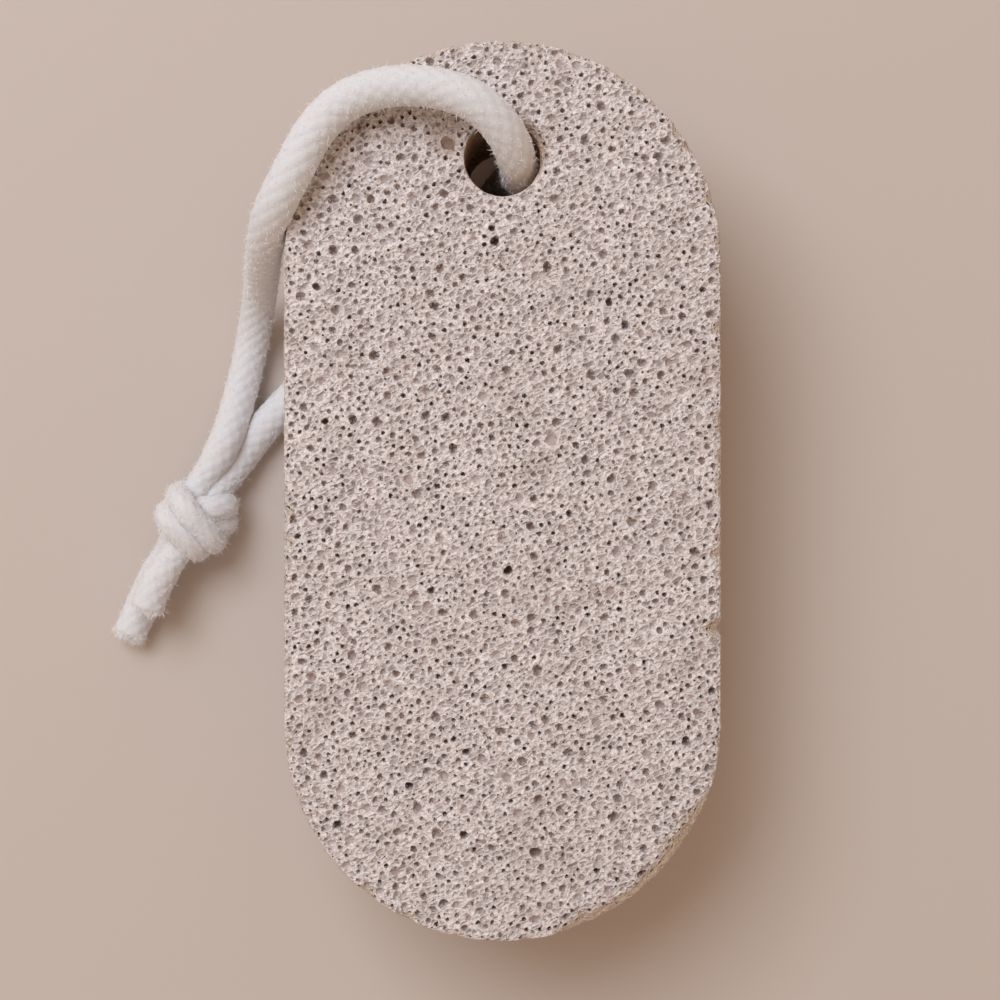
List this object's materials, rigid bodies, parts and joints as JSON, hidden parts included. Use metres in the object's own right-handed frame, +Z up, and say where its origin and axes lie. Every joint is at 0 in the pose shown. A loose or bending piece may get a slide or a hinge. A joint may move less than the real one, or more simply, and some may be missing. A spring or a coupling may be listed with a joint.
{
  "type": "pumice stone",
  "caption": "Oval pumice bar with flat faces and round ends, pitted by open bubbles, with a drilled hole and a knotted white cord loop to hang it by.",
  "frame": {"origin": "on the surface that the stone lies on, under the middle of the stone's box", "axes": "+Y along the stone towards its drilled end, +X across it, +Z up out of its front face, which is tipped by 2.4 degrees because one strand of the cord runs under the stone"},
  "size_m": [0.0728, 0.1006, 0.0339],
  "materials": {
    "pumice": "matt pinkish white foam of open bubbles with thin pale walls and grey-brown pits",
    "cord": "soft white braid with a slight sheen"
  },
  "bodies": {
    "root": {"pumice_stone": "pumice", "cord_loop": "cord", "cord_knot": "cord", "cord_long_end": "cord", "cord_short_end": "cord"}
  },
  "joints": []
}
